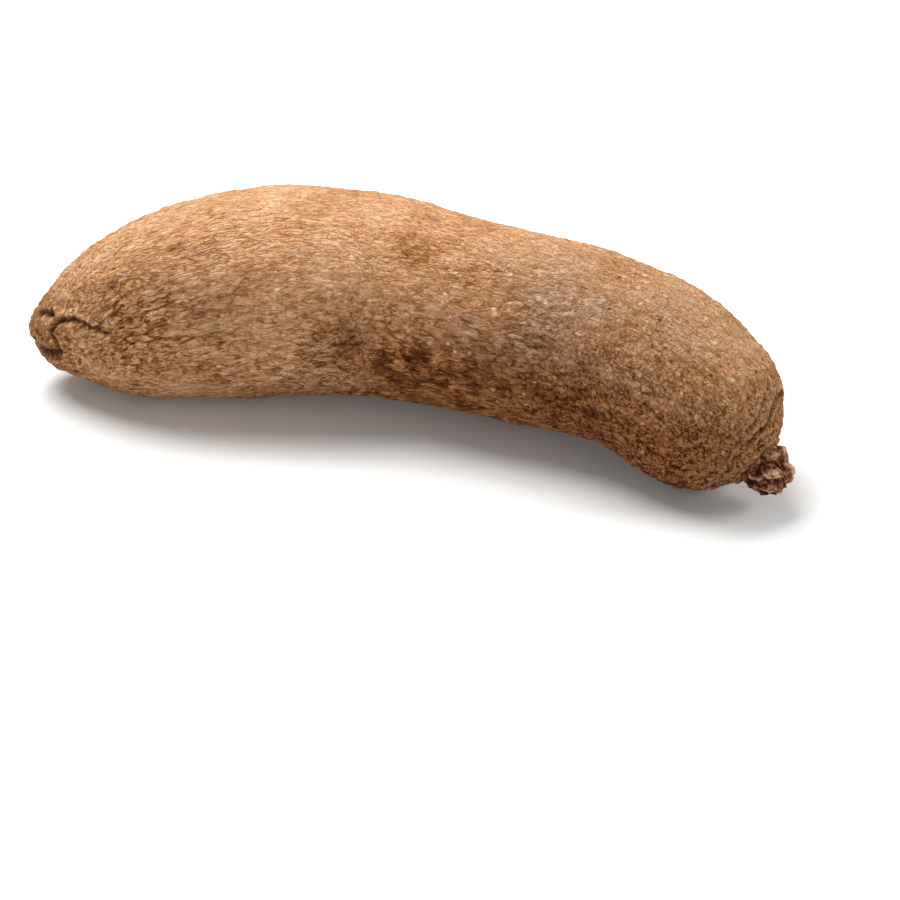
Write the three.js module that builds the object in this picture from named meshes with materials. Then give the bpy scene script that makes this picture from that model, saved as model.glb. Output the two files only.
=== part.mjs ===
// A white yam: one long, gently bent tuber, lying on its side on a flat surface.
// Millimetres, +Z up, +X from the tapered tail end to the crown end.
// The tuber is turned as a straight blank, round its own length, and then bent along its spine.
import * as THREE from "three";
import { mergeVertices } from "three/addons/utils/BufferGeometryUtils.js";

// Driving dimensions, in millimetres
const GIRTH_RADIUS = 44.2; // the thickest girth, a third of the way along
const SHOULDER_RADIUS = 33.8; // the rounded shoulder at the crown end
const SHOULDER_AT = 302.6; // how far along the spine the shoulder's centre lies
const NECK_RADIUS = 10; // where the crown grows out of the shoulder
const CROWN_RADIUS = 10.2; // the corky crown that the vine grew from
const CROWN_LENGTH = 13.5; // from the crown's thickest place to its tip
const CROWN_AT = 337.8; // how far along the spine the crown is thickest

// Fineness of the mesh
const BODY_ROWS = 62;
const CROWN_ROWS = 12;
const SECTORS = 44;
const SPINE_STEPS = 2000;

// The spine, from the tail's tip to the crown's tip. The tail rises a little off the ground,
// the body lies on it, and the crown end bends towards -Y and droops.
const SPINE = new THREE.CatmullRomCurve3(
  [
    [-124.2, -3, 25],
    [-111, -3, 25.6],
    [-93, -3, 29.4],
    [-55, -3, 38.2],
    [-12, -2, 42],
    [24, -5, 41.2],
    [64, -19.5, 40],
    [112, -43.6, 41.2],
    [129.5, -56, 41],
    [143, -68.4, 38],
    [153.1, -76.4, 32.6],
    [178.5, -96.7, 16],
    [186.6, -103.2, 10.6],
  ].map((point) => new THREE.Vector3(...point)),
  false,
  "centripetal",
);
SPINE.arcLengthDivisions = SPINE_STEPS;

// Half the outline of the straight blank: radius across, distance from the tail's tip along.
function outline() {
  const tail = new THREE.SplineCurve(
    [
      [0, 0],
      [5, 1.8],
      [10.6, 5],
      [15, 8.8],
      [19.2, 14],
      [30.6, 32.6],
      [37.8, 52],
      [42.6, 84],
      [GIRTH_RADIUS, 116],
      [40.8, 174],
      [39.4, 212],
      [37.2, 268],
      [35.8, 288],
      [SHOULDER_RADIUS, SHOULDER_AT],
    ].map((point) => new THREE.Vector2(...point)),
  );

  // The shoulder is an arc that stops where the crown grows out of it.
  const neckAngle = Math.acos(NECK_RADIUS / SHOULDER_RADIUS);
  const shoulder = new THREE.EllipseCurve(
    0, SHOULDER_AT, SHOULDER_RADIUS, SHOULDER_RADIUS, 0, neckAngle,
  );

  // The crown is a small dome that starts at the neck and is closed at its tip.
  const crownAngle = -Math.acos(NECK_RADIUS / CROWN_RADIUS);
  const crown = new THREE.EllipseCurve(
    0, CROWN_AT, CROWN_RADIUS, CROWN_LENGTH, crownAngle, Math.PI / 2,
  );

  const body = new THREE.CurvePath();
  body.add(tail);
  body.add(shoulder);
  const points = [...body.getSpacedPoints(BODY_ROWS), ...crown.getSpacedPoints(CROWN_ROWS)];
  points[0].x = 0;
  points[points.length - 1].x = 0;
  return points;
}

// Slow swellings of the root, as waves that run along it and round it.
const SWELLINGS = [
  { height: 0.7, length: 210, lobes: 1, phase: 0.6 },
  { height: 0.6, length: 150, lobes: 2, phase: 2.3 },
  { height: 0.45, length: 96, lobes: 3, phase: 4.1 },
];

// The crown is knobbly: its waves are short and run round it many times.
const CROWN_KNOBS = [
  { height: 0.7, length: 16, lobes: 3, phase: 0.9 },
  { height: 0.5, length: 11, lobes: 4, phase: 3.3 },
];

function waves(list, along, angle) {
  let height = 0;
  for (const wave of list) {
    const lengthwise = Math.sin((2 * Math.PI * along) / wave.length + wave.phase);
    const round = Math.cos(wave.lobes * angle + wave.phase * along * 0.02);
    height += wave.height * lengthwise * round;
  }
  return height;
}

// How far the surface stands out at a place on the blank, fading to nothing at both tips.
function relief(along, angle, radius) {
  const onCrown = THREE.MathUtils.smoothstep(along, SHOULDER_AT + 24, CROWN_AT - 2);
  const body = waves(SWELLINGS, along, angle) * Math.min(1, radius / SHOULDER_RADIUS);
  const crown = waves(CROWN_KNOBS, along, angle) * Math.min(1, radius / NECK_RADIUS);
  return THREE.MathUtils.lerp(body, crown, onCrown);
}

// The directions to the side of the spine and above it, at a share of its length.
function spineFrame(share) {
  const tangent = SPINE.getTangentAt(share);
  const side = new THREE.Vector3().crossVectors(tangent, new THREE.Vector3(0, 0, 1)).normalize();
  const up = new THREE.Vector3().crossVectors(side, tangent);
  return { side, up };
}

// Bends the straight blank, whose length runs along Y, onto the spine.
// The ground keeps the belly and the underside of the shoulder flat, so nothing goes below z = 0.
function bendOntoSpine(blank) {
  const position = blank.getAttribute("position");
  const blankLength = CROWN_AT + CROWN_LENGTH;
  const place = new THREE.Vector3();
  for (let i = 0; i < position.count; i += 1) {
    const across = position.getX(i);
    const along = position.getY(i);
    const above = position.getZ(i);
    const share = THREE.MathUtils.clamp(along / blankLength, 0, 1);
    const radius = Math.hypot(across, above);
    const swell = radius > 0 ? 1 + relief(along, Math.atan2(above, across), radius) / radius : 1;
    const { side, up } = spineFrame(share);
    place.copy(SPINE.getPointAt(share));
    place.addScaledVector(side, across * swell);
    place.addScaledVector(up, above * swell);
    position.setXYZ(i, place.x, place.y, Math.max(place.z, 0));
  }
  return blank;
}

// Joins the seam and the two tips of the turned blank, and drops the slivers that are left there.
function closed(geometry) {
  geometry.deleteAttribute("normal");
  geometry.deleteAttribute("uv");
  const merged = mergeVertices(geometry, 1e-3);
  const corners = merged.index.array;
  const kept = [];
  for (let i = 0; i < corners.length; i += 3) {
    const [a, b, c] = corners.slice(i, i + 3);
    if (a !== b && b !== c && c !== a) kept.push(a, b, c);
  }
  merged.setIndex(kept);
  merged.computeVertexNormals();
  return merged;
}

const bark = new THREE.MeshStandardMaterial({
  name: "bark",
  color: new THREE.Color(0.62, 0.43, 0.28),
  roughness: 0.88,
  metalness: 0,
});

function makeTuber() {
  const blank = new THREE.LatheGeometry(outline(), SECTORS);
  const mesh = new THREE.Mesh(closed(bendOntoSpine(blank)), bark);
  mesh.name = "tuber";

  // The origin is under the middle of the tuber's box, on the ground.
  const box = new THREE.Box3().setFromBufferAttribute(mesh.geometry.getAttribute("position"));
  const middle = box.getCenter(new THREE.Vector3());
  mesh.position.set(-middle.x, -middle.y, -box.min.z);
  return mesh;
}

const yam = new THREE.Group();
yam.name = "yam";
yam.add(makeTuber());

export default yam;
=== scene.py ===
# A white yam lying on its side on a pale floor: one long, bent tuber with rough, wrinkled bark.
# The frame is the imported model's own, in metres. Names that end in _MM hold millimetres.
import math

import bpy
import numpy as np
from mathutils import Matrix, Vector, noise
from mathutils.bvhtree import BVHTree


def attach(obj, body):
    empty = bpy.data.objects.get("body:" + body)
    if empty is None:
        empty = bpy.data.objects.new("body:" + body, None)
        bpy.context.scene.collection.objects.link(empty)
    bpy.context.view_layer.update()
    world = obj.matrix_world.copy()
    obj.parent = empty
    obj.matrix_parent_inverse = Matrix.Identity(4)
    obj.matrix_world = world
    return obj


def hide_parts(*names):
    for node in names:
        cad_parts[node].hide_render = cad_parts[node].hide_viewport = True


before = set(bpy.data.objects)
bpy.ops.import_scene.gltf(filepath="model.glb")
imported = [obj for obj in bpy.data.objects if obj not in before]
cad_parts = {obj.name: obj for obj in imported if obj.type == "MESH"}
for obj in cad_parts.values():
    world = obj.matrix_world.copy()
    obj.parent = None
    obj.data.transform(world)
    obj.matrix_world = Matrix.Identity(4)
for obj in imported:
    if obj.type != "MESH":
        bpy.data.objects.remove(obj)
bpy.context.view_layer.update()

MM = 0.001

# The camera sees the yam as the photo does, so a place can be given by its pixel in the photo
PHOTO_PIXELS = 900  # the photo's width and its height
CAMERA_ELEVATION = math.radians(33)
CAMERA_DISTANCE = 1.2
VIEW_WIDTH = 0.369  # how much of the floor's width the picture takes in
VIEW_TARGET = Vector((0.0209, -0.0249, 0))  # the place at the middle of the picture
CAMERA_BACK = Vector((0, -math.cos(CAMERA_ELEVATION), math.sin(CAMERA_ELEVATION)))
CAMERA_RIGHT = Vector((1, 0, 0))
CAMERA_PLACE = VIEW_TARGET + CAMERA_DISTANCE * CAMERA_BACK

# The spine of the tuber, from the tail's tip to the crown's tip, as the CAD bends it
SPINE_MM = [
    (-156.6, 31, 25),
    (-143.4, 31, 25.6),
    (-125.4, 31, 29.4),
    (-87.4, 31, 38.2),
    (-44.4, 32, 42),
    (-8.4, 29, 41.2),
    (31.6, 14.5, 40),
    (79.6, -9.6, 41.2),
    (97.1, -22, 41),
    (110.6, -34.4, 38),
    (120.7, -42.4, 32.6),
    (146.1, -62.7, 16),
    (154.2, -69.2, 10.6),
]
SPINE_STEPS = 1500
LINE_STEPS = 40  # how finely a crease's line is followed

# Fineness of the bark's mesh: rings from tip to tip, and points round each ring
RINGS = 338
ROUND = 288

# Where the CAD tuber is measured along its spine: evenly, and more closely over both tips
MEASURE_STEP_MM = 1.0
TIP_MM = 14
TIP_MEASURES = 50
FIRST_MEASURE = 0.04

# How far apart the rings lie along the body, and how much closer they come near each tip
BODY_SPACING = 1.6
CLOSER_AT_TAIL = 0.8
CLOSER_AT_CROWN = 1.0
CLOSER_OVER_MM = 32


def smooth_line(points, count):
    """Evenly spaced places on the smooth curve that runs through the points."""
    points = np.array(points, float)
    knots = np.concatenate([[0], np.cumsum(np.linalg.norm(np.diff(points, axis=0), axis=1))])
    slopes = np.gradient(points, knots, axis=0)
    fine = np.linspace(0, knots[-1], 60 * len(points))
    span = np.clip(np.searchsorted(knots, fine, side="right") - 1, 0, len(points) - 2)
    width = (knots[span + 1] - knots[span])[:, None]
    t = (fine - knots[span])[:, None] / width
    start = (1 + 2 * t) * (1 - t) ** 2 * points[span] + t * (1 - t) ** 2 * width * slopes[span]
    end = t * t * (3 - 2 * t) * points[span + 1] + t * t * (t - 1) * width * slopes[span + 1]
    places = start + end
    length = np.concatenate([[0], np.cumsum(np.linalg.norm(np.diff(places, axis=0), axis=1))])
    even = np.linspace(0, length[-1], count)
    return np.stack([np.interp(even, length, places[:, axis]) for axis in range(3)], axis=1)


def measures(length):
    """Distances along the spine at which the CAD tuber is measured."""
    tip = TIP_MM * np.linspace(FIRST_MEASURE, 1, TIP_MEASURES) ** 2
    clear = TIP_MM + MEASURE_STEP_MM
    middle = np.arange(clear, length - clear, MEASURE_STEP_MM)
    return np.concatenate([tip, middle, length - tip[::-1]])


def ring_round(surface, centre, tangent):
    """Points on the surface all round a place on the spine, square to it, from the bottom on."""
    side = np.cross(tangent, (0, 0, 1))
    side /= np.linalg.norm(side)
    above = np.cross(side, tangent / np.linalg.norm(tangent))
    ring = []
    for angle in np.linspace(0, 2 * np.pi, ROUND, endpoint=False) - np.pi / 2:
        way = side * math.cos(angle) + above * math.sin(angle)
        place = surface.ray_cast(Vector(centre), Vector(way))[0]
        ring.append(centre if place is None else place)
    return ring


def surface_of(node):
    """The surface of the CAD tuber, in millimetres."""
    corners = [vertex.co / MM for vertex in node.data.vertices]
    return BVHTree.FromPolygons(corners, [tuple(face.vertices) for face in node.data.polygons])


def seen_at(surface, pixel):
    """Where the camera's ray through a pixel of the photo meets the CAD tuber, in millimetres."""
    right, down = (VIEW_WIDTH * (count / PHOTO_PIXELS - 0.5) for count in pixel)
    up = CAMERA_BACK.cross(CAMERA_RIGHT)
    way = VIEW_TARGET + right * CAMERA_RIGHT - down * up - CAMERA_PLACE
    return surface.ray_cast(CAMERA_PLACE / MM, way)[0]


def rings_on(surface):
    """Rings of points on the CAD tuber, each square to the spine, and the spine's two ends."""
    spine = smooth_line(SPINE_MM, SPINE_STEPS)
    length = np.linalg.norm(np.diff(spine, axis=0), axis=1).sum()
    tangents = np.gradient(spine, axis=0)
    rings = []
    for step in measures(length) / length * (SPINE_STEPS - 1):
        centre = [np.interp(step, range(SPINE_STEPS), spine[:, axis]) for axis in range(3)]
        rings.append(ring_round(surface, np.array(centre), tangents[int(round(step))]))
    return np.array(rings, float), (spine[0], spine[-1])


def spaced(rings, tips):
    """The skin with its rings at the wanted spacing, their distances along it and its length."""
    steps = np.linalg.norm(np.diff(rings, axis=0), axis=2).mean(axis=1)
    first = np.linalg.norm(rings[0] - tips[0], axis=1).mean()
    last = np.linalg.norm(rings[-1] - tips[1], axis=1).mean()
    along = first + np.concatenate([[0], np.cumsum(steps)])
    total = along[-1] + last
    fine = np.linspace(along[0], along[-1], 4000)
    spacing = BODY_SPACING - CLOSER_AT_TAIL * bell(fine, CLOSER_OVER_MM)
    spacing -= CLOSER_AT_CROWN * bell(total - fine, CLOSER_OVER_MM)
    share = np.concatenate([[0], np.cumsum(1 / spacing[1:])])
    wanted = np.interp(np.linspace(0, share[-1], RINGS), share, fine)
    index = np.clip(np.searchsorted(along, wanted) - 1, 0, len(along) - 2)
    t = ((wanted - along[index]) / (along[index + 1] - along[index]))[:, None, None]
    return rings[index] * (1 - t) + rings[index + 1] * t, wanted, total


def relaxed(skin, times):
    """The skin, each point moved halfway to the middle of its four neighbours, so many times."""
    for _ in range(times):
        beside = np.roll(skin, 1, axis=1) + np.roll(skin, -1, axis=1)
        around = (beside[1:-1] + skin[:-2] + skin[2:]) / 4
        skin[1:-1] = (skin[1:-1] + around) / 2
    return skin


def outward(skin):
    """The direction that the skin faces at each of its points."""
    round_it = np.roll(skin, -1, axis=1) - np.roll(skin, 1, axis=1)
    normal = np.cross(round_it, np.gradient(skin, axis=0))
    normal /= np.linalg.norm(normal, axis=2)[..., None] + 1e-12
    middle = skin.mean(axis=1, keepdims=True)
    return normal * np.sign((normal * (skin - middle)).sum(axis=2).mean())


def ramp(value, low, high):
    """0 below low, 1 above high and smooth between."""
    t = np.clip((value - low) / (high - low), 0, 1)
    return t * t * (3 - 2 * t)


def bell(distance, width):
    """1 where the distance is nothing, fading away over a few widths."""
    return np.exp(-((distance / width) ** 2))


def blob(skin, centre, radius):
    """1 at the centre, fading to nothing a few radii away."""
    return bell(np.linalg.norm(skin - np.array(centre, float), axis=2), radius)


def patched(skin, patches):
    """The sum of soft patches, each with its centre, radius and strength."""
    return sum(strength * blob(skin, centre, radius) for centre, radius, strength in patches)


def distance_to_line(skin, points):
    """How far each point of the skin is from a line through the points."""
    nearest = np.full(skin.shape[:2], np.inf)
    for place in smooth_line(points, LINE_STEPS):
        nearest = np.minimum(nearest, np.linalg.norm(skin - place, axis=2))
    return nearest


# Turns places askew, so that no row of the noise's own lattice shows in the bark
ASKEW = np.array([
    [0.66, -0.61, 0.44],
    [0.71, 0.69, -0.12],
    [-0.23, 0.39, 0.89],
])


def at_each(sample, places):
    """One number from sample for every place in a grid of places."""
    flat = places.reshape(-1, 3).tolist()
    return np.array([sample(place) for place in flat]).reshape(places.shape[:-1])


def drift(skin, step, shift=0.0):
    """Smooth random variation about 0, which changes over every step of the skin."""
    return at_each(noise.noise, skin @ ASKEW / step + shift)


def mottle(skin, step, shift, calm):
    """Random variation of three sizes about 0; the calmer it is, the less the small ones show."""
    return at_each(lambda place: noise.fractal(place, calm, 2.0, 3), skin @ ASKEW / step + shift)


def from_lump(skin, size, shift=0.0):
    """How far each point is from the middle of the nearest of many random lumps of that size."""
    return at_each(lambda place: noise.voronoi([part / size + shift for part in place])[0][0], skin)


SHAKES = (1.3, 9.7, 17.1)  # where the noise that shakes each of a place's three numbers starts


def shaken(skin, step, size):
    """The skin's places shaken about by up to about size, differently at every step."""
    return skin + size * np.stack([drift(skin, step, shift) for shift in SHAKES], axis=2)


def spread(values):
    """Brings values to the range 0 to 1, without the few at either end that lie far out."""
    low, high = np.percentile(values, (3, 97))
    return np.clip((values - low) / (high - low), 0, 1)


# Creases in the bark: the photo's pixels along each, its depth and half its width in millimetres
CREASES = [
    ([(40, 313), (45, 313), (49, 314), (52, 315)], 2.0, 1.4),
    ([(53, 328), (56, 323), (61, 320), (69, 319), (82, 322), (88, 324)], 2.2, 1.1),
    ([(90, 327), (97, 329), (102, 332), (109, 333)], 1.5, 0.9),
    ([(53, 328), (50, 333), (53, 338), (57, 344), (60, 350), (58, 354)], 1.6, 1.0),
    ([(43, 351), (46, 353), (53, 354), (58, 354)], 3.2, 2.0),
    ([(66, 337), (68, 343)], 0.9, 0.9),
    ([(781, 393), (777, 397), (772, 413), (765, 427), (758, 434), (746, 448), (738, 457),
      (728, 473)], 1.3, 0.9),
    ([(770, 383), (766, 396), (759, 415), (747, 434), (734, 450), (723, 467)], 1.0, 0.8),
]

# Small pits near the tail: the photo's pixel of each, half its width and its depth in millimetres
PITS = [
    ((49, 314), 1.7, 1.2),
    ((81, 328), 0.9, 0.7),
    ((64, 358), 1.0, 0.7),
    ((130, 321), 1.5, 1.1),
    ((140, 333), 1.2, 0.6),
    ((112, 354), 1.0, 0.9),
    ((105, 355), 1.0, 0.9),
    ((95, 352), 0.9, 0.6),
]

# Lobes and spurs: the photo's pixel of each, half its width and how high it rises in millimetres
LOBES = [
    ((36, 325), 4.2, 0.9),
    ((45, 323), 3.0, 0.7),
    ((46, 345), 3.0, 0.8),
    ((56, 361), 2.4, 0.8),
    ((65, 328), 3.2, 0.5),
    ((781, 392), 1.5, 2.0),
]

# How far from the crown's tip each growth ring of the shoulder lies, and where the rings fade
RINGS_MM = (24.8, 28.0, 32.0, 36.6, 42.0)
RINGS_FADE_MM = (28, 44)
RINGS_WANDER_MM = 3.0

# A growth ring is a groove with a ridge beside it: half their widths, and the ridge's place
GROOVE_HALF_MM = 0.95
RIDGE_HALF_MM = 1.0
RIDGE_BESIDE_MM = 1.8
RIDGE_SHARE = 0.8

# Where the crown grows out: how far its neck and lip are from its tip, and half their widths
NECK_MM = 20.6
NECK_HALF_MM = 1.0
LIP_MM = 23.2
LIP_HALF_MM = 1.4

# The rim beside a crease, as shares of the crease's half width and of its depth
RIM_AWAY = 2.1
RIM_HALF = 0.8
RIM_HEIGHT = 0.22

# From these depths on, a crease or a pit is fully dark with painted shade
DARK_CREASE_MM = 1.4
DARK_PIT_MM = 1.1

# Where the root's parts begin and end: the crown from its own tip, the others from the tail's
CROWN_ENDS_MM = (19.0, 21.0)
NOSE_ENDS_MM = (16, 40)
SHOULDER_BEGINS_MM = (215, 300)

# Patches of rougher and smoother bark: middle, radius and how much rougher
ROUGH_PATCHES_MM = [
    ((-110, 0, 58), 30, 0.9),
    ((-85, -8, 20), 26, -0.45),
    ((-45, 20, 84), 40, -0.25),
]
TYPICAL_ROUGHNESS = 0.85

# Height of each kind of relief
SLOW_LUMPS_MM = 0.45
QUICK_LUMPS_MM = 0.42
SMALL_LUMPS_MM = 0.28
COARSE_WRINKLES_MM = 1.0
MIDDLE_WRINKLES_MM = 0.6
GRAINS_MM = 0.5
CORK_MM = 3.2
CORK_SUNK_MM = 1.9
GROWTH_RINGS_MM = 0.6
LIP_HEIGHT_MM = 0.9
NECK_DEPTH_MM = 1.5

# How large the lumps of the crown's cork are
LARGE_CORK_MM = 4.6
SMALL_CORK_MM = 1.9

# The lumps under the crown are rounded off below this height, so that the ground doesn't cut them
CROWN_CLEARANCE_MM = 2.4

# The ground flattens the relief below this height, and under the crown below the sum of both
PRESSED_MM = 4.7
CROWN_PRESSED_MM = 5

# The bark's grain is laid out as on a root of this thickness, and winds round near the tail
TYPICAL_RADIUS_MM = 41
GRAIN_WINDING = 0.465
WINDING_OVER_MM = 75

# How large the raised flakes are, across and along the grain, and over what length they wander
COARSE_FLAKES_MM = (3.4, 10.5)
MIDDLE_FLAKES_MM = (2.0, 6.0)
FLAKES_WANDER_MM = (7, 7, 13)
GRAIN_SIZE_MM = 3.1

# How often the skin is relaxed: over the CAD's facets, and once more over the crown's lumps
FACET_ROUNDS = 20
CROWN_ROUNDS = 2


class Bark:
    """The skin of the tuber as a grid of points, with what the bark's finish needs to know."""

    def __init__(self, node):
        self.surface = surface_of(node)
        rings, tips = rings_on(self.surface)
        skin, along, self.total = spaced(rings, tips)
        self.skin = relaxed(skin, FACET_ROUNDS)
        self.along = np.repeat(along[:, None], ROUND, axis=1)
        self.to_tip = self.total - self.along
        self.lay_out_grain()

    def lay_out_grain(self):
        """Where each point lies on the root before it was bent: the third number runs along it."""
        angle = np.linspace(0, 2 * np.pi, ROUND, endpoint=False)[None, :] - np.pi / 2
        angle = angle - GRAIN_WINDING * (1 - np.exp(-self.along / WINDING_OVER_MM))
        middle = self.skin.mean(axis=1, keepdims=True)
        radius = np.linalg.norm(self.skin - middle, axis=2).mean(axis=1, keepdims=True)
        radius = np.minimum(radius, TYPICAL_RADIUS_MM)
        self.grain = np.stack([radius * np.cos(angle), radius * np.sin(angle), self.along], axis=2)


def find_parts(bark):
    """Where the skin is crown, nose or granular shoulder, and how rough it is."""
    skin = bark.skin
    bark.crown = 1 - ramp(bark.to_tip + 1.6 * drift(skin, 4), *CROWN_ENDS_MM)
    bark.nose = 1 - ramp(bark.along, *NOSE_ENDS_MM)
    shoulder = ramp(bark.along, *SHOULDER_BEGINS_MM)
    bark.granular = np.maximum(shoulder, 0.8 * bark.nose) * (1 - bark.crown)
    rough = TYPICAL_ROUGHNESS + 0.5 * drift(skin, 32, 5) + patched(skin, ROUGH_PATCHES_MM)
    bark.rough = np.clip(rough, 0.3, 1.7)


def lumps(bark):
    """Slow unevenness of the root's shape, weaker on the crown."""
    height = SLOW_LUMPS_MM * drift(bark.skin, 34)
    height += QUICK_LUMPS_MM * drift(bark.skin, 11, 7)
    height += SMALL_LUMPS_MM * drift(bark.skin, 5, 19)
    return height * (1 - 0.6 * bark.crown)


def flake(place):
    """How deep inside a flake a place is: 0 on the gap between two flakes."""
    distances = noise.voronoi(place)[0]
    return distances[1] - distances[0]


def wrinkles(bark, size, shift):
    """Lens-shaped flakes that follow the root's length: 0 in the furrows and 1 on the ridges."""
    across, along = size
    wander = at_each(noise.noise, bark.grain / np.array(FLAKES_WANDER_MM) @ ASKEW + shift)
    places = bark.grain / np.array([across, across, along]) + shift
    places[..., :2] += 0.6 * wander[..., None]
    places = places @ ASKEW
    flakes = spread(at_each(flake, places))
    furrows = spread(np.abs(at_each(noise.noise, places * 0.9 + 31)))
    return 0.55 * np.sqrt(flakes) + 0.45 * np.sqrt(furrows)


def wrinkle_bark(bark):
    """Height of the lengthwise wrinkles and of the round grains, which take over when granular."""
    bark.coarse = wrinkles(bark, COARSE_FLAKES_MM, 3.0)
    bark.middle = wrinkles(bark, MIDDLE_FLAKES_MM, 21.0)
    bark.grains = 1 - spread(from_lump(bark.skin, GRAIN_SIZE_MM))
    ridges = COARSE_WRINKLES_MM * bark.coarse + MIDDLE_WRINKLES_MM * bark.middle
    ridges -= (COARSE_WRINKLES_MM + MIDDLE_WRINKLES_MM) / 2
    height = bark.rough * (1 - 0.45 * bark.granular) * ridges
    height += GRAINS_MM * (1 + bark.granular) * (bark.grains - 0.5)
    return height * (1 - bark.crown)


def break_cork(bark):
    """Height of the crown's knobbly cork: rounded lumps of two sizes with deep gaps between."""
    places = shaken(bark.skin, 3.4, 2.4)
    cork = 1.2 - from_lump(places, LARGE_CORK_MM) - 0.45 * from_lump(places, SMALL_CORK_MM, 5)
    cork += 0.2 * mottle(bark.skin, 2.6, 3, 0.6)
    bark.cork = np.clip(cork, 0, 1)
    return bark.crown * (CORK_MM * bark.cork - CORK_SUNK_MM)


def growth_rings(bark):
    """Fine rings round the crown: each a groove with a ridge beside it, wandering and fading."""
    wandering = bark.to_tip + RINGS_WANDER_MM * drift(bark.skin, 16, 3)
    rings = np.zeros_like(wandering)
    for distance in RINGS_MM:
        away = wandering - distance
        rings += RIDGE_SHARE * bell(away - RIDGE_BESIDE_MM, RIDGE_HALF_MM)
        rings -= bell(away, GROOVE_HALF_MM)
    strength = ramp(drift(bark.skin, 12, 13), -0.4, 0.2)
    faded = 1 - 0.75 * ramp(bark.to_tip, *RINGS_FADE_MM)
    return rings * strength * faded * (1 - bark.crown)


def ring_shoulder(bark):
    """Height of the growth rings, and of the neck and lip where the crown grows out."""
    bark.rings = growth_rings(bark)
    ragged = bark.to_tip + 0.9 * drift(bark.skin, 2.6, 61)
    neck = bell(ragged - NECK_MM, NECK_HALF_MM)
    lip = bell(ragged - LIP_MM, LIP_HALF_MM)
    # Painted shade in the neck's groove
    bark.crease = 0.8 * neck
    bark.rim = 0.7 * lip
    return GROWTH_RINGS_MM * bark.rings + LIP_HEIGHT_MM * lip - NECK_DEPTH_MM * neck


def crease_bark(bark):
    """Height of the creases with a low rim beside each, the pits and the lobes."""
    ragged = shaken(bark.skin, 3.0, 0.9)
    faint = 1.0 + 0.7 * drift(bark.skin, 4.5, 50)
    height = np.zeros_like(faint)
    for pixels, depth, half_width in CREASES:
        points = [seen_at(bark.surface, pixel) for pixel in pixels]
        away = distance_to_line(ragged, points)
        cut = faint * bell(away, half_width)
        rim = bell(away - RIM_AWAY * half_width, RIM_HALF * half_width)
        height += depth * (RIM_HEIGHT * rim - cut)
        # Painted shade in the crease, fuller as it is deeper
        bark.crease = np.maximum(bark.crease, cut * min(1, depth / DARK_CREASE_MM))
        bark.rim = np.maximum(bark.rim, 0.6 * rim)
    for pixel, radius, depth in PITS:
        cut = blob(ragged, seen_at(bark.surface, pixel), radius)
        height -= depth * cut
        # Painted shade in the pit, fuller as it is deeper
        bark.crease = np.maximum(bark.crease, cut * min(1, depth / DARK_PIT_MM))
    for pixel, radius, rise in LOBES:
        height += rise * blob(bark.skin, seen_at(bark.surface, pixel), radius)
    return height


def raise_skin(bark, height):
    """Moves the skin out by its height, and hardly at all where the ground presses it flat."""
    free = ramp(bark.skin[..., 2] - 0.3, 0, PRESSED_MM + CROWN_PRESSED_MM * bark.crown)
    height = height * (0.12 + 0.88 * free)
    bark.facing = outward(bark.skin)
    bark.skin = bark.skin + bark.facing * height[..., None]


def round_off_crown(bark):
    """Softens the crown's lumps, and lifts those that would be cut by the ground."""
    smooth = relaxed(bark.skin.copy(), CROWN_ROUNDS)
    bark.skin += bark.crown[..., None] * (smooth - bark.skin)
    low = np.minimum(bark.skin[..., 2], CROWN_CLEARANCE_MM)
    lifted = CROWN_CLEARANCE_MM * np.exp(low / CROWN_CLEARANCE_MM - 1)
    bark.skin[..., 2] += bark.crown * (lifted - low)


def close_tip(skin, last, before):
    """Where the skin closes at a tip: a little beyond the middle of its last ring."""
    middle = skin[last].mean(axis=0)
    return middle + 0.35 * (middle - skin[before].mean(axis=0))


def shape_bark(bark):
    """Raises and carves the skin, and keeps what the finish needs to know of it."""
    find_parts(bark)
    height = lumps(bark) + wrinkle_bark(bark) + break_cork(bark)
    height += ring_shoulder(bark)
    height += crease_bark(bark)
    raise_skin(bark, height)
    round_off_crown(bark)
    bark.skin[..., 2] = np.maximum(bark.skin[..., 2], 0)
    bark.tips = [close_tip(bark.skin, 0, 1), close_tip(bark.skin, -1, -2)]


# Patches of colour on the bark: middle, radius and strength of each
# Painted highlight on the upper left and painted shade over the upper middle, where the light falls
# stronger and weaker
HIGHLIGHT_AND_SHADE_PATCHES_MM = [
    ((-44, 5, 78), 22, 0.1),
    ((12, 12, 84), 40, -0.65),
]
DOTTED_PATCHES_MM = [
    ((33, -26, 53), 28, 1.1),
    ((75, -40, 55), 24, 0.8),
]
SOIL_STAINS_MM = [
    ((6, -17, 40), 11, 0.9),
    ((1, -11, 27), 12, 0.8),
    ((32, -25, 30), 24, 0.6),
    ((75, -50, 38), 20, 0.45),
    ((-78, -8, 52), 13, 0.35),
    ((-22, -13, 43), 12, 0.4),
    ((-114, 3, 58), 18, 0.22),
    ((-93, 4, 66), 16, 0.18),
]

# The cork of the crown has painted light where it faces this way, up and to the front, and painted
# shade on the other side
CORK_PAINTED_LIGHT_SIDE = (0.4, -0.45, 0.6)

# Soil and painted shade darken the bark as it faces down and to the front, and as it comes nearer
# the crown, but less on the last of the shoulder
FACING_DOWN = (-0.98, 0.25)
FACING_FRONT = (-0.6, 0.3)
SOIL_AND_SHADE_TOWARDS_CROWN_MM = (110, 220)
LESS_SOIL_AND_SHADE_AT_SHOULDER_MM = (28, 55)


def dark_underside(bark, uneven):
    """How dark the bark is with soil and painted shade: more below, in front and towards the crown.
    """
    below = ramp(0.15 * uneven - bark.facing[..., 2], *FACING_DOWN)
    front = 0.4 + 0.6 * ramp(-bark.facing[..., 1], *FACING_FRONT)
    by_length = 0.44 + 0.66 * ramp(bark.along, *SOIL_AND_SHADE_TOWARDS_CROWN_MM)
    by_crown = 0.65 + 0.35 * ramp(bark.to_tip, *LESS_SOIL_AND_SHADE_AT_SHOULDER_MM)
    return below * front * by_length * by_crown


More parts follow.
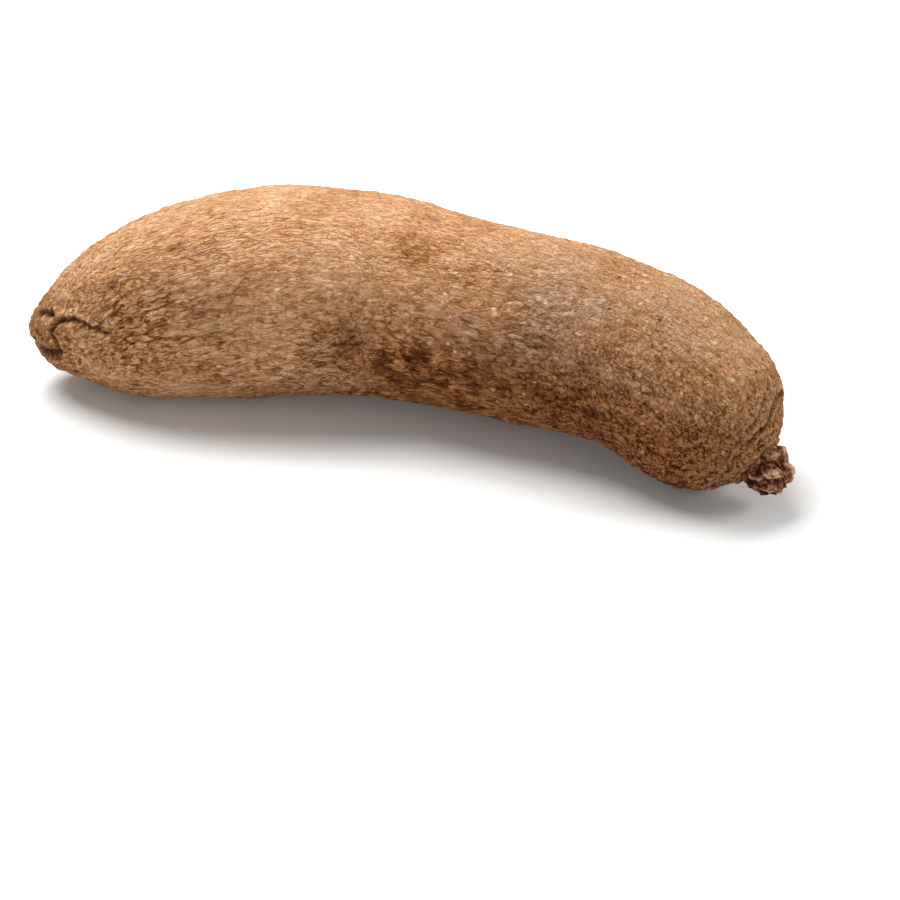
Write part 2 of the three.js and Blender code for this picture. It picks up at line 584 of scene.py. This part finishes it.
def stain_bark(bark):
    """Where the bark is pale, dusty, dark, dotted or stained, from where it lies on the root; its
    darkening below is soil and painted shade.
    """
    skin = bark.skin
    uneven = mottle(skin, 26, 11, 0.8)
    bark.pale = 0.5 + 0.6 * uneven - 0.8 * bark.nose - 0.45 * (bark.rough - TYPICAL_ROUGHNESS)
    # Painted highlight and painted shade on the top
    bark.pale += patched(skin, HIGHLIGHT_AND_SHADE_PATCHES_MM)
    bark.dotted = np.clip(0.6 * bark.granular + patched(skin, DOTTED_PATCHES_MM), 0, 1)
    dusty_top = blob(skin * (1, 1, 1.2), (60, -28, 76), 34)
    dusty_shoulder = 0.5 * blob(skin, (105, -45, 66), 20)
    bark.grey = np.clip(np.maximum(dusty_top, dusty_shoulder) * (1 + 0.8 * uneven), 0, 1)
    # Painted shade, with soil: darker below, in front and towards the crown
    bark.soil_and_shade = dark_underside(bark, uneven)
    # Painted light and shade on the cork by the way it faces
    lit = bark.facing @ np.array(CORK_PAINTED_LIGHT_SIDE)
    bark.cork = np.clip(bark.cork + bark.crown * (0.28 * lit - 0.02), 0, 1.2)
    blotches = 0.95 + 1.9 * mottle(skin, 6, 23, 0.7)
    bark.stains = np.clip(patched(skin, SOIL_STAINS_MM) * blotches, 0, 1)


# What the finish reads at each point of the mesh, with its value at the tail's and crown's tips
POINT_VALUES = {
    "pale": (0.5, 0.5),
    "grey": (0, 0),
    "soil_and_shade": (0, 0.5),
    "stains": (0, 0),
    "crown": (0, 1),
    "cork": (0, 0.7),
    "granular": (0, 0),
    "dotted": (0, 0),
    "rough": (1, 1),
    "rim": (0, 0),
    "crease": (0, 0),
    "coarse": (0.5, 0.5),
    "middle": (0.5, 0.5),
    "grains": (0.5, 0.5),
    "rings": (0, 0),
}
MAP_MARGIN = 0.01


def bark_mesh(bark):
    """The skin as one closed mesh, with an unrolled map and the finish's values at its points."""
    index = np.arange(RINGS * ROUND).reshape(RINGS, ROUND)
    right = np.roll(index, -1, axis=1)
    quads = np.stack([index[:-1], right[:-1], right[1:], index[1:]], axis=2).reshape(-1, 4)
    tail, crown = RINGS * ROUND, RINGS * ROUND + 1
    fans = [(tail, right[0, j], index[0, j]) for j in range(ROUND)]
    fans += [(crown, index[-1, j], right[-1, j]) for j in range(ROUND)]
    places = np.concatenate([bark.skin.reshape(-1, 3), np.array(bark.tips)]) * MM
    mesh = bpy.data.meshes.new("tuber_bark")
    mesh.from_pydata(places.tolist(), [], quads.tolist() + fans)
    mesh.shade_smooth()
    unroll(mesh)
    keep_values(mesh, bark)
    return mesh


def keep_values(mesh, bark):
    """Stores what the finish reads at the mesh's points."""
    for name, ends in POINT_VALUES.items():
        values = np.append(getattr(bark, name).ravel(), ends)
        layer = mesh.attributes.new(name, "FLOAT", "POINT")
        layer.data.foreach_set("value", values.astype(np.float32))
    ends = np.array([(0, 0, 0), (0, 0, bark.total)])
    grain = np.concatenate([bark.grain.reshape(-1, 3), ends])
    layer = mesh.attributes.new("grain", "FLOAT_VECTOR", "POINT")
    layer.data.foreach_set("vector", grain.astype(np.float32).ravel())


def map_corners(*corners):
    """Places on the map of one row of faces, from each corner's place along and round the root."""
    rows = [np.stack([np.full(ROUND, along), round_it], axis=1) for along, round_it in corners]
    return np.stack(rows, axis=1).reshape(-1, 2)


def unroll(mesh):
    """A map of the bark unrolled from a seam along the bottom: along the root, then round it."""
    width = 1 - 2 * MAP_MARGIN
    along = MAP_MARGIN + width * (np.arange(RINGS) + 1) / (RINGS + 1)
    round_it = MAP_MARGIN + width * np.arange(ROUND + 1) / ROUND
    left, right = round_it[:-1], round_it[1:]
    middle = (left + right) / 2
    rows = []
    for low, high in zip(along[:-1], along[1:]):
        rows.append(map_corners((low, left), (low, right), (high, right), (high, left)))
    rows.append(map_corners((MAP_MARGIN, middle), (along[0], right), (along[0], left)))
    rows.append(map_corners((1 - MAP_MARGIN, middle), (along[-1], left), (along[-1], right)))
    layer = mesh.uv_layers.new(name="OFBake")
    layer.data.foreach_set("uv", np.concatenate(rows).ravel())


def feed(tree, value, socket):
    """Links a socket to another, or sets it to a value."""
    if isinstance(value, bpy.types.NodeSocket):
        tree.links.new(value, socket)
    else:
        socket.default_value = value


def calc(tree, operation, *values):
    """One step of arithmetic."""
    step = tree.nodes.new("ShaderNodeMath")
    step.operation = operation
    for socket, value in zip(step.inputs, values):
        feed(tree, value, socket)
    return step.outputs[0]


def times(tree, first, second):
    """The product of two numbers."""
    return calc(tree, "MULTIPLY", first, second)


def add_share(tree, value, share, base):
    """The base plus a share of a value."""
    return calc(tree, "MULTIPLY_ADD", value, share, base)


def span(tree, value, low, high, start=0.0, end=1.0):
    """Brings value from the range low to high to the range start to end, smoothly."""
    step = tree.nodes.new("ShaderNodeMapRange")
    step.interpolation_type = "SMOOTHSTEP"
    for socket, given in zip(step.inputs, (value, low, high, start, end)):
        feed(tree, given, socket)
    return step.outputs[0]


def blend_numbers(tree, share, first, second):
    """A mix of two numbers."""
    step = tree.nodes.new("ShaderNodeMix")
    feed(tree, share, step.inputs[0])
    feed(tree, first, step.inputs[2])
    feed(tree, second, step.inputs[3])
    return step.outputs[0]


def blend_colours(tree, share, first, second, how="MIX"):
    """A mix of two colours."""
    step = tree.nodes.new("ShaderNodeMix")
    step.data_type = "RGBA"
    step.blend_type = how
    feed(tree, share, step.inputs[0])
    feed(tree, first, step.inputs[6])
    feed(tree, second, step.inputs[7])
    return step.outputs[2]


def stain(tree, share, colour, tint):
    """A colour darkened by a tint, as far as share says."""
    return blend_colours(tree, share, colour, tint, "MULTIPLY")


def tones(tree, value, steps):
    """The colour for a value, from pairs of position and colour."""
    step = tree.nodes.new("ShaderNodeValToRGB")
    tree.links.new(value, step.inputs[0])
    bands = step.color_ramp.elements
    while len(bands) < len(steps):
        bands.new(0.5)
    for band, (position, colour) in zip(bands, steps):
        band.position = position
        band.color = colour
    return step.outputs[0]


def at_point(tree, name, output="Fac"):
    """A value that the mesh holds at its points."""
    step = tree.nodes.new("ShaderNodeAttribute")
    step.attribute_name = name
    return step.outputs[output]


def place_in_mm(tree):
    """Where the surface is on the object, in millimetres."""
    step = tree.nodes.new("ShaderNodeVectorMath")
    step.operation = "SCALE"
    tree.links.new(tree.nodes.new("ShaderNodeTexCoord").outputs["Object"], step.inputs[0])
    step.inputs["Scale"].default_value = 1 / MM
    return step.outputs[0]


def stretch(tree, place, across, along, shift=(0, 0, 0)):
    """A place measured in units of across and along millimetres, and turned askew."""
    step = tree.nodes.new("ShaderNodeMapping")
    feed(tree, place, step.inputs["Vector"])
    step.inputs["Location"].default_value = shift
    step.inputs["Rotation"].default_value = (0.7, 0.4, 1.1)
    step.inputs["Scale"].default_value = (1 / across, 1 / across, 1 / along)
    return step.outputs[0]


def cloud(tree, place, detail=2.0, roughness=0.5):
    """Soft random patches, one unit apart."""
    step = tree.nodes.new("ShaderNodeTexNoise")
    feed(tree, place, step.inputs["Vector"])
    step.inputs["Scale"].default_value = 1
    step.inputs["Detail"].default_value = detail
    step.inputs["Roughness"].default_value = roughness
    return step


def cells(tree, place, feature="F1"):
    """Random cells, one unit apart."""
    step = tree.nodes.new("ShaderNodeTexVoronoi")
    step.feature = feature
    step.inputs["Scale"].default_value = 1
    tree.links.new(place, step.inputs["Vector"])
    return step


def new_group(name, inputs, outputs):
    """An empty node group with vector inputs and number outputs of these names."""
    tree = bpy.data.node_groups.new(name, "ShaderNodeTree")
    for socket in inputs:
        tree.interface.new_socket(socket, in_out="INPUT", socket_type="NodeSocketVector")
    for socket in outputs:
        tree.interface.new_socket(socket, in_out="OUTPUT", socket_type="NodeSocketFloat")
    return tree, tree.nodes.new("NodeGroupInput").outputs, tree.nodes.new("NodeGroupOutput").inputs


def wandered(tree, place, drifting, wander):
    """A place moved about by a soft random colour, as far as wander says."""
    centred = tree.nodes.new("ShaderNodeVectorMath")
    centred.operation = "SUBTRACT"
    tree.links.new(drifting, centred.inputs[0])
    centred.inputs[1].default_value = (0.5, 0.5, 0.5)
    moved = tree.nodes.new("ShaderNodeVectorMath")
    moved.operation = "MULTIPLY_ADD"
    for socket, given in zip(moved.inputs, (centred.outputs[0], wander, place)):
        tree.links.new(given, socket)
    return moved.outputs[0]


# Shares of a flake's size: the width of its dome and crest, and of the gap and line beside it
DOME_WIDTH = 0.30
CREST_WIDTH = 0.16
GAP_WIDTH = 0.12
LINE_WIDTH = 0.05


def wrinkle_group():
    """Height and furrows of lens-shaped flakes, longer than wide and parted by thin furrows."""
    tree, given, result = new_group("Bark wrinkles", ("Place", "Wander"), ("Height", "Furrow"))
    drifting = cloud(tree, given["Place"], detail=1.0)
    place = wandered(tree, given["Place"], drifting.outputs["Color"], given["Wander"])
    from_edge = cells(tree, place, "DISTANCE_TO_EDGE").outputs["Distance"]
    ridges = cloud(tree, place, detail=2.0, roughness=0.55)
    from_line = calc(tree, "ABSOLUTE", calc(tree, "SUBTRACT", ridges.outputs["Fac"], 0.5))
    dome = span(tree, from_edge, 0.0, DOME_WIDTH)
    crest = span(tree, from_line, 0.0, CREST_WIDTH)
    tree.links.new(times(tree, calc(tree, "ADD", dome, crest), 0.5), result["Height"])

    here = span(tree, drifting.outputs["Fac"], 0.42, 0.60)
    elsewhere = span(tree, calc(tree, "SUBTRACT", 1.0, here), 0.0, 0.7, 0.3, 1.0)
    gap = times(tree, span(tree, from_edge, 0.0, GAP_WIDTH, 1.0, 0.0), here)
    line = times(tree, span(tree, from_line, 0.0, LINE_WIDTH, 1.0, 0.0), elsewhere)
    tree.links.new(calc(tree, "MAXIMUM", gap, line), result["Furrow"])
    return tree


# Shares of the spacing between spots: the largest spot's radius, and its soft edge
LARGEST_SPOT = 0.30
SPOT_EDGE = 0.17


def lenticel_group():
    """Small corky spots strewn over the bark, some larger than others."""
    tree, given, result = new_group("Bark lenticels", ("Place",), ("Spot",))
    spots = cells(tree, given["Place"])
    chance = tree.nodes.new("ShaderNodeSeparateColor")
    tree.links.new(spots.outputs["Color"], chance.inputs[0])
    radius = span(tree, chance.outputs[0], 0.1, 1.0, 0.0, LARGEST_SPOT)
    inside = calc(tree, "SUBTRACT", radius, spots.outputs["Distance"])
    tree.links.new(span(tree, inside, 0.0, SPOT_EDGE), result["Spot"])
    return tree


def place_group(tree, group, **values):
    """One use of a node group, with its own values."""
    step = tree.nodes.new("ShaderNodeGroup")
    step.node_tree = group
    for name, value in values.items():
        feed(tree, value, step.inputs[name])
    return step.outputs


# Colours of the bark, in linear light
# The darkest brown of the furrows and hollows: partly the bark's own colour, partly painted shade
FURROW_BROWN = (0.14, 0.046, 0.011, 1)
ROOT_BROWN = (0.36, 0.160, 0.056, 1)
BARK_TAN = (0.555, 0.305, 0.154, 1)
FLAKE_PALE = (0.80, 0.545, 0.345, 1)
# Painted shade in the creases, the pits and the crown's neck
CREASE_SHADE_BROWN = (0.055, 0.018, 0.005, 1)
DUST_TINT = (0.76, 0.80, 0.95, 1)
SHOULDER_TINT = (0.76, 0.69, 0.60, 1)
# Tint of the soil and of the painted shade on the underside
SOIL_AND_SHADE_TINT = (0.52, 0.35, 0.215, 1)
# Tint of the bark's stains, and of the painted shade round its creases
STAIN_AND_SHADE_TINT = (0.42, 0.32, 0.25, 1)
# Nearly black: the cork's own dark brown with painted shade in its gaps
CORK_DARK = (0.020, 0.004, 0.001, 1)
CORK_BROWN = (0.25, 0.090, 0.034, 1)
CORK_PALE = (0.70, 0.430, 0.270, 1)
BARK_TONES = [(0.10, FURROW_BROWN), (0.32, ROOT_BROWN), (0.52, BARK_TAN), (0.84, FLAKE_PALE)]
CORK_TONES = [(0.22, CORK_DARK), (0.46, CORK_BROWN), (0.76, CORK_PALE)]

# Sizes of the material's flakes across and along the grain, and of its warts
LARGE_FLAKES_MM = (2.8, 8.6)
SMALL_FLAKES_MM = (1.5, 3.9)
WARTS_MM = (2.2, 2.2)

# How far flakes and warts wander from an even row, in shares of their size
LARGE_FLAKES_WANDER = (1.45, 1.45, 1.0)
SMALL_FLAKES_WANDER = (1.2, 1.2, 0.9)
WARTS_WANDER = (1.2, 1.2, 1.2)

# Distances between the clouds of dust and grit, the patches, the lenticels and the pits
DUST_MM = (0.7, 0.7)
PATCHES_MM = (7, 7)
LENTICELS_MM = (4.4, 4.4)
PITTING_MM = (3.6, 3.6)
GRIT_MM = (1.1, 1.1)

# How deep the bump is, and how dull the furrows and the flakes are
BUMP_MM = 1.7
FURROW_ROUGHNESS = 0.95
FLAKE_ROUGHNESS = 0.75
BARK_SHINE = 0.12

# Shares in the fine relief
SMALL_FLAKE_RELIEF = 0.24
DUST_RELIEF = 0.22
LARGE_FURROW_RELIEF = -0.22
SMALL_FURROW_RELIEF = -0.10

# Shares of the mesh's own relief in the tone: painted shade in its hollows and painted light on its
# ridges, over the bark's own darker furrows
MESH_TONES = {"coarse": 0.5, "middle": 0.3, "grains": 0.2, "rings": 0.2}
MESH_SHARE = 0.68

# Bark whose relief is this high has the tone of plain tan bark
MIDDLE_RELIEF = 0.62
MIDDLE_TONE = 0.52

# How much paler each of these makes the bark, or darker where it is below 0
# Furrows darker: partly the bark's own colour, partly painted shade
LARGE_FURROW_TONE = -0.32
SMALL_FURROW_TONE = -0.14
# The low shoulder darker with soil and painted shade
LOW_SHOULDER_TONE = -0.19
PATCH_TONE = 0.15
PALE_TONE = 0.16
RIM_TONE = 0.16
LENTICEL_TONE = 0.40
PITTING_TONE = -0.28
# Growth rings: paler ridges and darker grooves, partly painted light and shade
RING_TONE = 0.12


class FineBark:
    """The fine layers of the bark's material, which its relief and its colour are made of."""

    def __init__(self, tree):
        place = place_in_mm(tree)
        self.dust = cloud(tree, stretch(tree, place, *DUST_MM), roughness=0.6).outputs["Fac"]
        self.patches = cloud(tree, stretch(tree, place, *PATCHES_MM)).outputs["Fac"]
        grit_place = stretch(tree, place, *GRIT_MM, (3, 1, 2))
        self.grit = cloud(tree, grit_place, detail=3.0, roughness=0.7).outputs["Fac"]
        self.granular = at_point(tree, "granular")
        self.soil_and_shade = at_point(tree, "soil_and_shade")
        self.rough = at_point(tree, "rough")
        self.lay_flakes(tree, place)
        self.strew_spots(tree, place)

    def lay_flakes(self, tree, place):
        """Large flakes that turn to round warts where the bark is granular, and small flakes."""
        group = wrinkle_group()
        grain = at_point(tree, "grain", "Vector")
        large_place = stretch(tree, grain, *LARGE_FLAKES_MM)
        large = place_group(tree, group, Place=large_place, Wander=LARGE_FLAKES_WANDER)
        warts_place = stretch(tree, place, *WARTS_MM)
        warts = place_group(tree, group, Place=warts_place, Wander=WARTS_WANDER)
        small_place = stretch(tree, grain, *SMALL_FLAKES_MM, (5, 2, 7))
        small = place_group(tree, group, Place=small_place, Wander=SMALL_FLAKES_WANDER)
        self.small_height = small["Height"]
        self.small_furrow = small["Furrow"]

        round_share = times(tree, self.granular, 0.8)
        self.height = blend_numbers(tree, round_share, large["Height"], warts["Height"])
        furrow = blend_numbers(tree, round_share, large["Furrow"], warts["Furrow"])
        furrow = times(tree, furrow, span(tree, self.patches, 0.3, 0.65, 1.0, 0.35))
        # Furrows, partly painted shade, stronger where the bark is soiled and shaded
        furrow = times(tree, furrow, add_share(tree, self.soil_and_shade, 1.1, 0.4))
        self.furrow = times(tree, furrow, add_share(tree, self.rough, 1.1, -0.1))

    def strew_spots(self, tree, place):
        """Pale lenticels and dark pitting, each more in some places than in others."""
        group = lenticel_group()
        lenticels = place_group(tree, group, Place=stretch(tree, place, *LENTICELS_MM))["Spot"]
        share = span(tree, at_point(tree, "dotted"), 0.0, 0.8, 0.2, 1.0)
        self.lenticels = times(tree, lenticels, share)
        pitting_place = stretch(tree, place, *PITTING_MM, (8, 3, 1))
        pitting = place_group(tree, group, Place=pitting_place)["Spot"]
        self.pitting = times(tree, pitting, add_share(tree, self.granular, 0.7, 0.3))


def raised_relief(tree, fine):
    """Height of the flakes and the dust that are too fine for the mesh."""
    height = times(tree, fine.height, add_share(tree, fine.granular, 0.12, 0.42))
    height = add_share(tree, fine.small_height, SMALL_FLAKE_RELIEF, height)
    return add_share(tree, fine.dust, DUST_RELIEF, height)


def carved_relief(tree, fine, height):
    """The fine relief with its furrows cut in."""
    height = add_share(tree, fine.furrow, LARGE_FURROW_RELIEF, height)
    return add_share(tree, fine.small_furrow, SMALL_FURROW_RELIEF, height)


def relief_tone(tree, fine, height):
    """How pale the bark is from its relief alone, partly its own colour and partly painted shade
    and light, with more contrast where it is soiled and shaded or rough.
    """
    for name, share in MESH_TONES.items():
        height = add_share(tree, at_point(tree, name), share * MESH_SHARE, height)
    # More painted relief shade on the soiled, shaded underside
    contrast = add_share(tree, fine.soil_and_shade, 1.0, 0.28)
    contrast = times(tree, contrast, add_share(tree, fine.rough, 0.45, 0.6))
    contrast = times(tree, contrast, add_share(tree, fine.granular, 0.4, 1.0))
    return add_share(tree, calc(tree, "SUBTRACT", height, MIDDLE_RELIEF), contrast, MIDDLE_TONE)


def bark_tone(tree, fine, height):
    """How pale the bark is, from its darkest furrows to its palest flakes."""
    tone = relief_tone(tree, fine, height)
    furrow_share = add_share(tree, fine.granular, 0.14, LARGE_FURROW_TONE)
    tone = add_share(tree, fine.furrow, furrow_share, tone)
    # Soil and painted shade darken the low shoulder
    tone = add_share(tree, times(tree, fine.soil_and_shade, fine.granular), LOW_SHOULDER_TONE, tone)
    tone = add_share(tree, fine.small_furrow, SMALL_FURROW_TONE, tone)
    tone = add_share(tree, calc(tree, "SUBTRACT", fine.patches, 0.5), PATCH_TONE, tone)
    # Slow random tone, with painted highlight and shade on the top
    slow = calc(tree, "SUBTRACT", at_point(tree, "pale"), 0.5)
    tone = add_share(tree, slow, PALE_TONE, tone)
    tone = add_share(tree, at_point(tree, "rim"), RIM_TONE, tone)
    tone = add_share(tree, fine.lenticels, LENTICEL_TONE, tone)
    tone = add_share(tree, fine.pitting, PITTING_TONE, tone)
    return add_share(tree, at_point(tree, "rings"), RING_TONE, tone)


def stained_colour(tree, fine, tone):
    """The bark's colour with its dust, its soil and painted shade, and its stains, which leave the
    lenticels cleaner.
    """
    colour = tones(tree, tone, BARK_TONES)
    colour = stain(tree, times(tree, fine.granular, 0.8), colour, SHOULDER_TINT)
    colour = stain(tree, at_point(tree, "grey"), colour, DUST_TINT)
    clean = add_share(tree, fine.lenticels, -0.6, 1.0)
    # Soil and painted shade darken the underside
    colour = stain(tree, times(tree, fine.soil_and_shade, clean), colour, SOIL_AND_SHADE_TINT)
    return stain(tree, times(tree, at_point(tree, "stains"), clean), colour, STAIN_AND_SHADE_TINT)


def creased_colour(tree, fine, colour):
    """The colour with painted shade in the creases, pits and neck, in two steps with a dusty edge.
    """
    crease = add_share(tree, fine.dust, 0.5, at_point(tree, "crease"))
    colour = stain(tree, span(tree, crease, 0.25, 0.8, 0.0, 0.8), colour, STAIN_AND_SHADE_TINT)
    return blend_colours(tree, span(tree, crease, 0.7, 1.3, 0.0, 0.85), colour, CREASE_SHADE_BROWN)


def cork_colour(tree, fine):
    """The crown's colour: nearly black in its gaps, the cork's own dark brown with painted shade,
    and pale on its lumps, with painted light on its upper front side.
    """
    gritty = calc(tree, "SUBTRACT", fine.grit, 0.5)
    tone = add_share(tree, gritty, 0.9, times(tree, at_point(tree, "cork"), 0.75))
    return tones(tree, tone, CORK_TONES)


def yam_bark():
    """Rough, dry bark: tan flakes and ridges, dark furrows, dusty and soil-stained patches, with
    painted shade below, in its hollows and in its creases, and painted light on its top and on the
    crown.
    """
    material = bpy.data.materials.new("yam_bark")
    material.use_nodes = True
    tree = material.node_tree
    surface = tree.nodes["Principled BSDF"]
    fine = FineBark(tree)
    crown = at_point(tree, "crown")
    height = raised_relief(tree, fine)
    tone = bark_tone(tree, fine, height)

    colour = creased_colour(tree, fine, stained_colour(tree, fine, tone))
    colour = blend_colours(tree, crown, colour, cork_colour(tree, fine))
    tree.links.new(colour, surface.inputs["Base Color"])
    roughness = span(tree, tone, 0.2, 0.8, FURROW_ROUGHNESS, FLAKE_ROUGHNESS)
    tree.links.new(roughness, surface.inputs["Roughness"])
    surface.inputs["Specular IOR Level"].default_value = BARK_SHINE

    bump = tree.nodes.new("ShaderNodeBump")
    bump.inputs["Strength"].default_value = 1.0
    bump.inputs["Distance"].default_value = BUMP_MM * MM
    relief = blend_numbers(tree, crown, carved_relief(tree, fine, height), fine.grit)
    tree.links.new(relief, bump.inputs["Height"])
    tree.links.new(bump.outputs["Normal"], surface.inputs["Normal"])
    return material


def make_tuber():
    """The whole yam in its bark, in place of the CAD tuber."""
    bark = Bark(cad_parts["tuber"])
    shape_bark(bark)
    stain_bark(bark)
    piece = bpy.data.objects.new("yam_tuber", bark_mesh(bark))
    bpy.context.scene.collection.objects.link(piece)
    piece.data.materials.append(yam_bark())
    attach(piece, "root")
    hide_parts("tuber")


FLOOR_HALF_WIDTH = 4.0
FLOOR_GAP = 0.0002  # the floor lies this far under the yam, so that the two don't touch
FLOOR_COLOUR = (0.80, 0.80, 0.79, 1)


def make_floor():
    """A wide, pale, matte floor."""
    half = FLOOR_HALF_WIDTH
    corners = [(-half, -half, 0), (half, -half, 0), (half, half, 0), (-half, half, 0)]
    mesh = bpy.data.meshes.new("floor")
    mesh.from_pydata(corners, [], [(0, 1, 2, 3)])
    material = bpy.data.materials.new("pale_floor")
    material.use_nodes = True
    surface = material.node_tree.nodes["Principled BSDF"]
    surface.inputs["Base Color"].default_value = FLOOR_COLOUR
    surface.inputs["Roughness"].default_value = 0.9
    surface.inputs["Specular IOR Level"].default_value = 0.1
    mesh.materials.append(material)
    floor = bpy.data.objects.new("floor", mesh)
    floor.location = (0, 0, -FLOOR_GAP)
    bpy.context.scene.collection.objects.link(floor)


def aim(thing, target):
    """Turns a lamp or a camera towards a place."""
    thing.rotation_euler = (Vector(target) - thing.location).to_track_quat("-Z", "Y").to_euler()


LAMPS_AIM = (0, 0, 0.04)  # the middle of the yam
ROOM_BRIGHTNESS = 0.35


def add_softbox(name, place, size, watts):
    """A soft, white, rectangular lamp that points at the yam."""
    lamp = bpy.data.lights.new(name, "AREA")
    lamp.shape = "RECTANGLE"
    lamp.size, lamp.size_y = size
    lamp.energy = watts
    holder = bpy.data.objects.new(name, lamp)
    holder.location = place
    bpy.context.scene.collection.objects.link(holder)
    aim(holder, LAMPS_AIM)


def light_studio():
    """A softbox overhead to the left, a weaker one on either side, and an even white room."""
    add_softbox("overhead_softbox", (-0.32, 0.42, 1.05), (1.0, 0.65), 24)
    add_softbox("left_fill", (-1.0, -1.3, 0.5), (0.7, 0.7), 7.5)
    add_softbox("right_fill", (1.3, 0.1, 0.55), (0.6, 0.6), 13)
    world = bpy.data.worlds.new("white_room")
    world.use_nodes = True
    room = world.node_tree.nodes["Background"]
    room.inputs["Color"].default_value = (1, 1, 1, 1)
    room.inputs["Strength"].default_value = ROOM_BRIGHTNESS
    bpy.context.scene.world = world
    bpy.context.scene.view_settings.view_transform = "Standard"


SENSOR_WIDTH_MM = 36


def place_camera():
    """The camera, in front of the yam and looking down at it, as in the photo."""
    camera = bpy.data.cameras.new("camera")
    camera.sensor_width = SENSOR_WIDTH_MM
    camera.lens = SENSOR_WIDTH_MM * CAMERA_DISTANCE / VIEW_WIDTH
    holder = bpy.data.objects.new("camera", camera)
    holder.location = CAMERA_PLACE
    bpy.context.scene.collection.objects.link(holder)
    aim(holder, VIEW_TARGET)
    bpy.context.scene.camera = holder


make_tuber()
make_floor()
light_studio()
place_camera()
